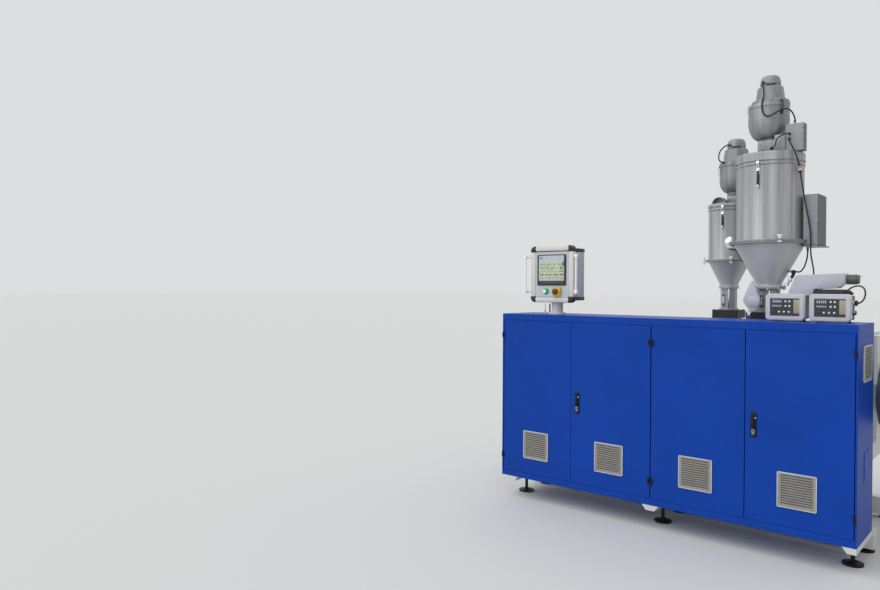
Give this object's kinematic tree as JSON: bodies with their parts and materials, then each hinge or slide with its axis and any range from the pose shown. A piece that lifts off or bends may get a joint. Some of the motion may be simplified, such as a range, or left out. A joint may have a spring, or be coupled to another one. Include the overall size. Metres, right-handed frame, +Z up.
{
  "type": "plastic extruder",
  "caption": "Single screw plastic extruder with a screw co-extruder, vacuum loaders on steel hoppers, dosing controllers and a long blue switch cabinet with hinged doors.",
  "frame": {"origin": "bottom centre of the whole machine, on the floor", "axes": "+X along the machine from the die end to the motor end, +Y from the door side to the back, +Z up"},
  "size_m": [3.4, 1.4758, 3.227],
  "materials": {
    "white_paint": "satin off-white powder coat",
    "blue_paint": "fine textured royal blue powder coat",
    "grey_paint": "satin light grey powder coat",
    "dark_paint": "satin dark grey paint",
    "black_metal": "satin black powder coat",
    "black_iron": "blackened casting",
    "black_rubber": "matte black rubber pad",
    "black_cable": "satin black cable sheath",
    "white_cable": "matte white cable sheath",
    "black_plastic": "matte black moulding",
    "vent_plastic": "matte light grey beige moulding",
    "white_plastic": "matte white moulding",
    "button_plastic": "glossy coloured plastic",
    "screen_glass": "glossy dark screen",
    "zinc_plate": "zinc plated sheet",
    "aluminium_bar": "satin anodised bar",
    "steel": "brushed stainless steel",
    "dark_steel": "bare machined steel"
  },
  "bodies": {
    "machine": {"base_rails": "white_paint", "cross_beams": "white_paint", "deck_legs": "white_paint", "machine_deck": "white_paint", "barrel_supports": "white_paint", "levelling_feet": "black_rubber", "cabinet_floor": "blue_paint", "cabinet_back": "blue_paint", "cabinet_ends": "blue_paint", "cabinet_lid": "blue_paint", "front_rails": "blue_paint", "front_posts": "blue_paint", "mounting_plates": "zinc_plate", "end_vent": "vent_plastic", "hinge_brackets": "black_metal", "panel_post": "grey_paint", "panel_housing": "grey_paint", "panel_handles": "aluminium_bar", "panel_corners": "black_plastic", "panel_screen": "screen_glass", "panel_buttons": "button_plastic", "controller_frames": "white_plastic", "controller_boxes": "dark_paint", "doser_covers": "white_paint", "doser_drives": "dark_paint", "hopper_throats": "steel", "hopper_cones": "steel", "hopper_drums": "steel", "hopper_lids": "steel", "loader_bases": "steel", "loader_bodies": "steel", "loader_heads": "steel", "lid_box": "grey_paint", "heater_box": "grey_paint", "feed_housings": "black_iron", "barrels": "dark_steel", "barrel_covers": "white_paint", "blowers": "dark_paint", "gearboxes": "white_paint", "motors": "dark_paint", "cap_cable": "black_cable", "sensor_cable": "black_cable", "drop_cable": "black_cable", "heater_cable": "black_cable", "controller_cable": "black_cable", "panel_cable": "black_cable", "panel_lead": "white_cable", "loader_cable": "black_cable"},
    "door_1": {"door_1": "blue_paint", "vent_1": "vent_plastic"},
    "door_2": {"door_2": "blue_paint", "vent_2": "vent_plastic", "lock_2": "black_metal"},
    "door_3": {"door_3": "blue_paint", "vent_3": "vent_plastic"},
    "door_4": {"door_4": "blue_paint", "vent_4": "vent_plastic", "lock_4": "black_metal"}
  },
  "joints": [
    {"name": "door_1_hinge", "type": "hinge", "parent": "machine", "child": "door_1", "pos_m": [-1.52, -0.73, 0.815], "axis": [0, 0, 1], "range_deg": [-110, 0]},
    {"name": "door_2_hinge", "type": "hinge", "parent": "machine", "child": "door_2", "pos_m": [-0.275, -0.73, 0.815], "axis": [0, 0, 1], "range_deg": [0, 90]},
    {"name": "door_3_hinge", "type": "hinge", "parent": "machine", "child": "door_3", "pos_m": [-0.255, -0.73, 0.815], "axis": [0, 0, 1], "range_deg": [-90, 0]},
    {"name": "door_4_hinge", "type": "hinge", "parent": "machine", "child": "door_4", "pos_m": [0.99, -0.73, 0.815], "axis": [0, 0, 1], "range_deg": [0, 110]}
  ]
}
